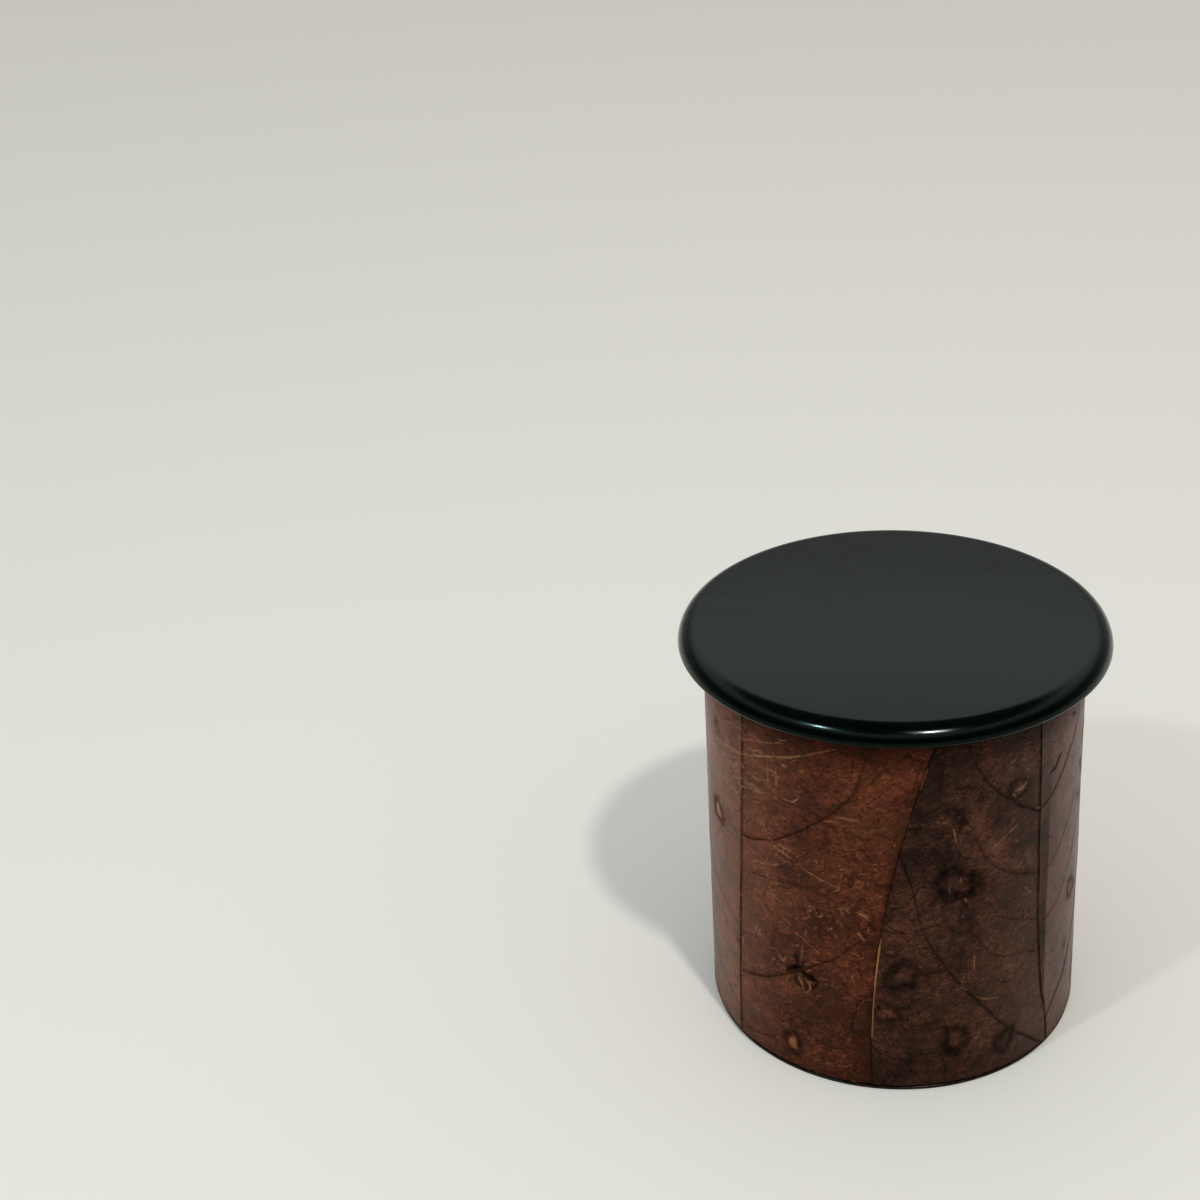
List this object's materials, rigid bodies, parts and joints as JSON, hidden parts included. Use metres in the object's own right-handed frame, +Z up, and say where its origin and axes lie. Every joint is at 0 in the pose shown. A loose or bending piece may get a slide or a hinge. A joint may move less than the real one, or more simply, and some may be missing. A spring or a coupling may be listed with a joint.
{
  "type": "tea caddy",
  "caption": "Straight cylindrical lacquered tea caddy, its wall covered in pasted leaves, with a wide low-domed black lid that lifts off.",
  "frame": {"origin": "middle of the foot, on the surface the caddy stands on", "axes": "+Z up along the caddy's axis; -Y to the front, where the reddish leaf meets the dark one; +X to the viewer's right"},
  "size_m": [0.0746, 0.0746, 0.0764],
  "materials": {
    "black_lacquer": "gloss black lacquer over turned wood",
    "satin_black_lacquer": "satin black lacquer over wood",
    "mulberry_paper": "mulberry paper pasted with lacquer",
    "leaf_front_left": "reddish-brown leaf under clear semi-gloss lacquer",
    "leaf_front_right": "dark brown leaf under clear semi-gloss lacquer",
    "leaf_back_left": "olive-brown leaf under clear semi-gloss lacquer",
    "leaf_back_right": "russet leaf under clear semi-gloss lacquer"
  },
  "bodies": {
    "caddy": {"base_board": "satin_black_lacquer", "core_tube": "satin_black_lacquer", "paper_wrap": "mulberry_paper", "leaf_front_left": "leaf_front_left", "leaf_front_right": "leaf_front_right", "leaf_back_left": "leaf_back_left", "leaf_back_right": "leaf_back_right"},
    "lid": {"lid_plate": "black_lacquer", "lid_collar": "black_lacquer"}
  },
  "joints": [
    {"name": "lid_lift", "type": "slide", "parent": "caddy", "child": "lid", "axis": [0, 0, 1], "range_m": [0, 0.04]}
  ]
}
